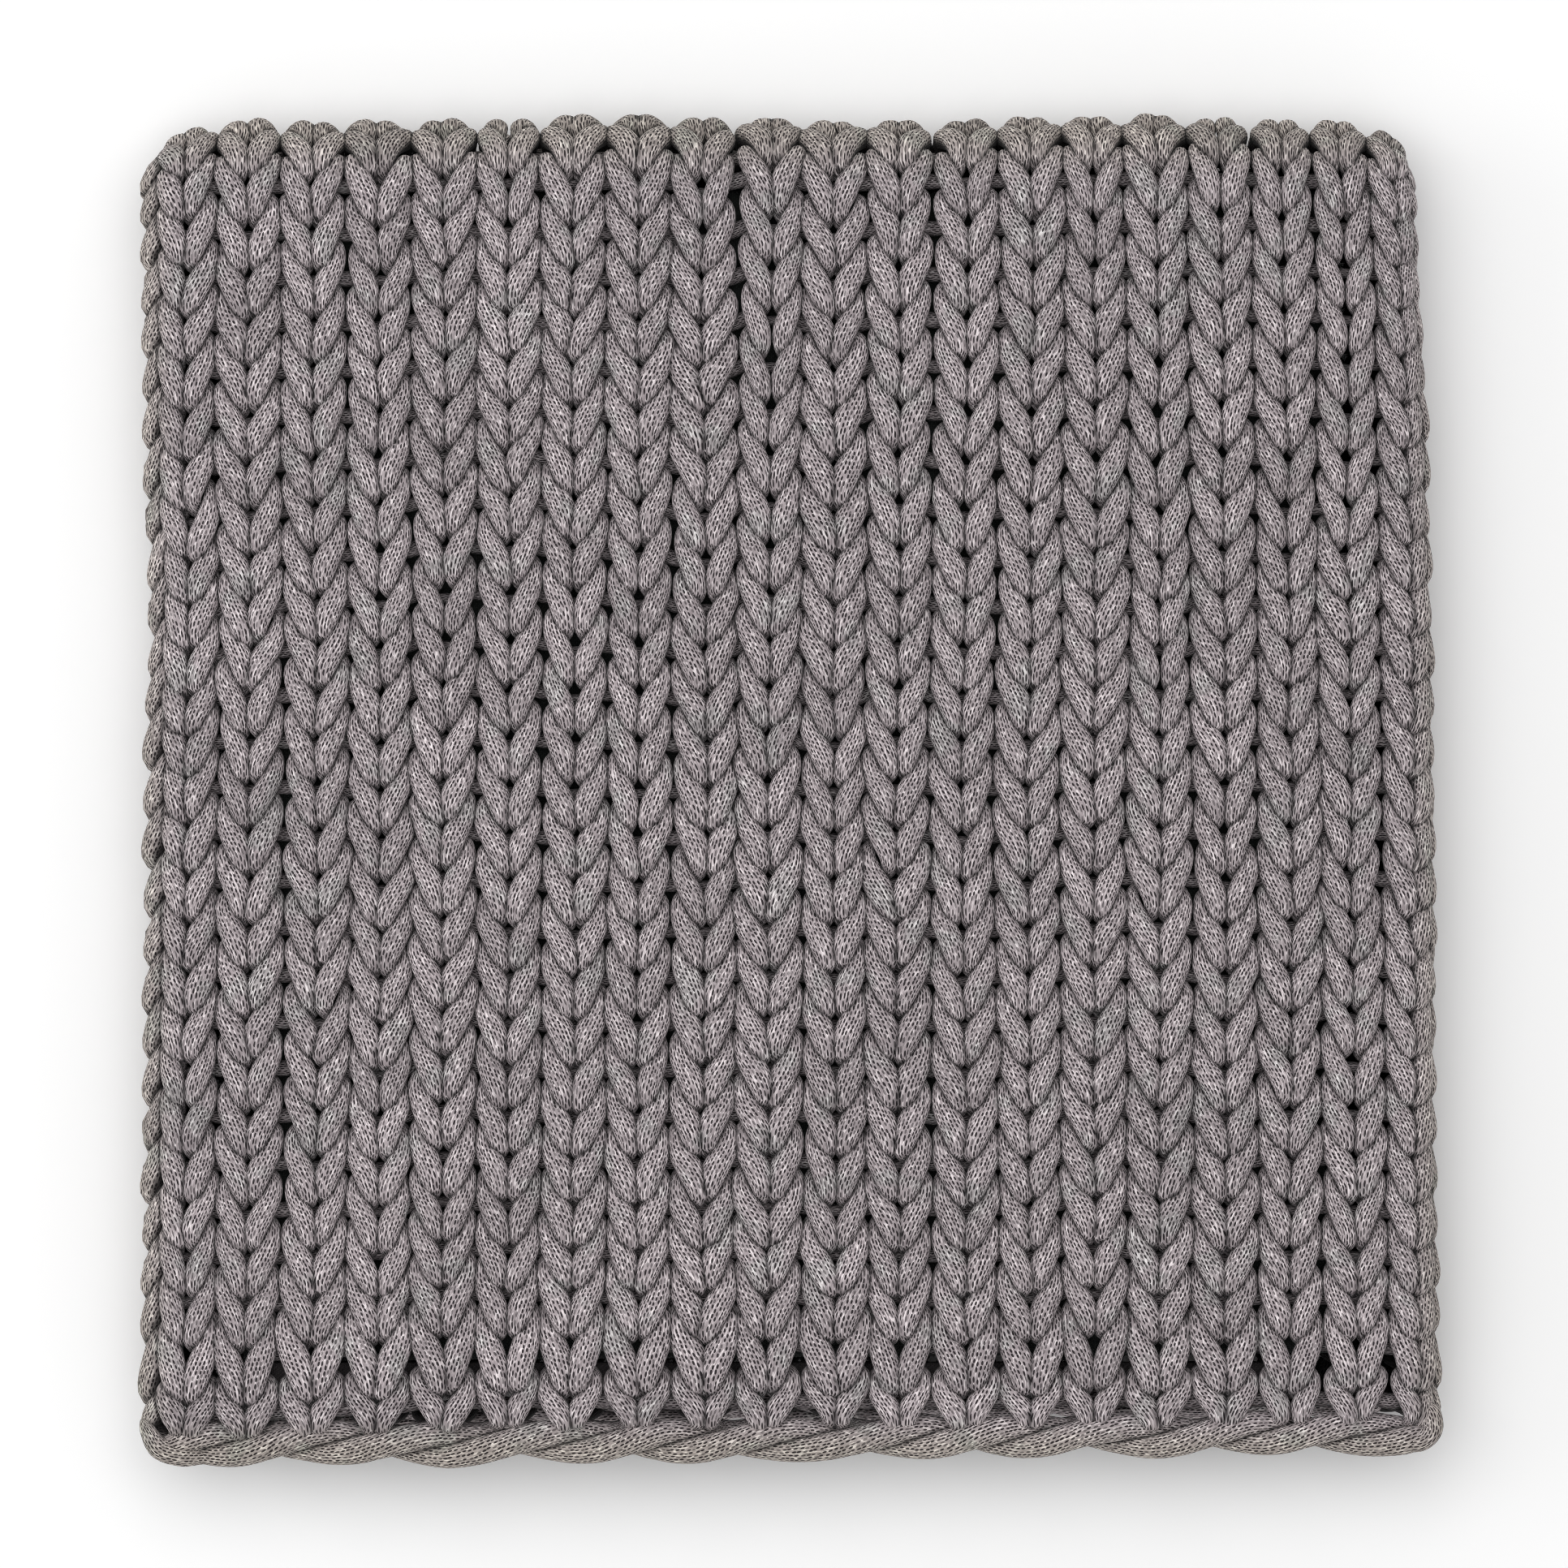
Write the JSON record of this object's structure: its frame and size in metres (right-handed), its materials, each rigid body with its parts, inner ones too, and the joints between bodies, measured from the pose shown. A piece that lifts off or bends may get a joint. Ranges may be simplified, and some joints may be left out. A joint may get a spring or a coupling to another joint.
{
  "type": "throw pillow",
  "caption": "Slim square throw pillow in thick knitted yarn, folded over at the top, with a chain edge and a zipper in the mouth at the bottom.",
  "frame": {"origin": "centre of the pillow's outline, at the height of the flat back it lies on", "axes": "+Z out of the knitted face, +Y towards the folded top edge, +X to the right of the face"},
  "size_m": [0.508, 0.528, 0.07],
  "materials": {
    "yarn": "taupe grey knitted-tube cotton yarn, matt with pale fibre highlights",
    "seam_yarn": "thinner cotton yarn of the same colour",
    "lining": "dark plain-weave cotton",
    "ticking": "white cotton ticking",
    "filling": "white polyester fibre",
    "thread": "grey sewing thread",
    "label": "blank white satin ribbon",
    "zipper_tape": "grey woven polyester tape",
    "zipper_coil": "grey nylon coil",
    "nickel": "nickel-plated zinc"
  },
  "bodies": {
    "pillow": {"knit_front_panel": "yarn", "knit_back_panel": "yarn", "knit_top_fold": "yarn", "front_bind_off_chain": "yarn", "back_cast_on_chain": "yarn", "yarn_tail": "yarn", "left_seam_yarn": "seam_yarn", "right_seam_yarn": "seam_yarn", "lining_front": "lining", "lining_back": "lining", "insert_shell_front": "ticking", "insert_shell_back": "ticking", "insert_filling": "filling", "insert_edge_binding": "thread", "care_label": "label", "zipper_tape_front": "zipper_tape", "zipper_tape_back": "zipper_tape", "zipper_coil_front": "zipper_coil", "zipper_coil_back": "zipper_coil", "tape_stitching_front": "thread", "tape_stitching_back": "thread", "zipper_top_stop_front": "nickel", "zipper_top_stop_back": "nickel", "zipper_bottom_stop": "nickel"},
    "slider": {"zipper_slider": "nickel"},
    "pull_tab": {"zipper_pull_tab": "nickel"}
  },
  "joints": [
    {"name": "zipper_slide", "type": "slide", "parent": "pillow", "child": "slider", "axis": [1, 0, 0], "range_m": [0, 0.377]},
    {"name": "pull_tab_hinge", "type": "hinge", "parent": "slider", "child": "pull_tab", "pos_m": [-0.1885, -0.2356, 0.027], "axis": [0, 0, -1], "range_deg": [0, 170]}
  ]
}
